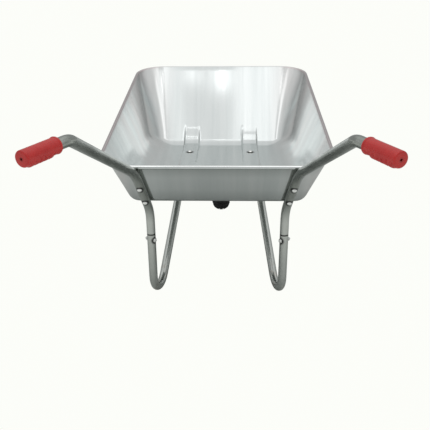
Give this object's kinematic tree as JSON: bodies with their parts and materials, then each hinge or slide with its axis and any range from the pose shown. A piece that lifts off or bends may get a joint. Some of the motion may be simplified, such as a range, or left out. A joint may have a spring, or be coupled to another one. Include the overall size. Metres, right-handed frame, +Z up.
{
  "type": "wheelbarrow",
  "caption": "Single-wheel builder's wheelbarrow with a deep galvanised tray, two bolted tube handles with plastic grips, tube legs and a pneumatic wheel",
  "frame": {"origin": "on the ground, under the middle of the barrow's bounding box", "axes": "+Y forward from the grips to the wheel, +X to the right of whoever pushes it, +Z up"},
  "size_m": [0.7028, 1.4478, 0.6379],
  "materials": {
    "galvanised_sheet": "hot-dip galvanised sheet, pressed and streaky",
    "galvanised_tube": "galvanised tube, dull grey with long streaks",
    "grip_plastic": "moulded red plastic",
    "plated_steel": "zinc-plated fasteners",
    "tyre_rubber": "black moulded rubber",
    "tube_rubber": "smooth black rubber",
    "rim_steel": "zinc-coated pressed steel",
    "bearing_plastic": "black plain bearing"
  },
  "bodies": {
    "frame": {"tray": "galvanised_sheet", "left_handle": "galvanised_tube", "right_handle": "galvanised_tube", "left_frame_tube": "galvanised_tube", "right_frame_tube": "galvanised_tube", "left_grip": "grip_plastic", "right_grip": "grip_plastic", "handle_bolts": "plated_steel", "handle_bolt_washers": "plated_steel", "handle_bolt_nuts": "plated_steel", "floor_bolts": "plated_steel", "floor_bolt_washers": "plated_steel", "floor_bolt_nuts": "plated_steel", "leg_bolts": "plated_steel", "leg_nuts": "plated_steel", "axle": "plated_steel", "axle_nuts": "plated_steel", "axle_washers": "plated_steel", "axle_spacers": "plated_steel"},
    "wheel": {"tyre": "tyre_rubber", "inner_tube": "tube_rubber", "left_rim": "rim_steel", "right_rim": "rim_steel", "rim_bolts": "plated_steel", "rim_nuts": "plated_steel", "hub": "rim_steel", "left_bearing": "bearing_plastic", "right_bearing": "bearing_plastic", "valve_stem": "tube_rubber", "valve_cap": "tube_rubber"}
  },
  "joints": [
    {"name": "wheel_spin", "type": "hinge", "parent": "frame", "child": "wheel", "pos_m": [0, 0.55895, 0.165], "axis": [1, 0, 0], "continuous": true}
  ]
}
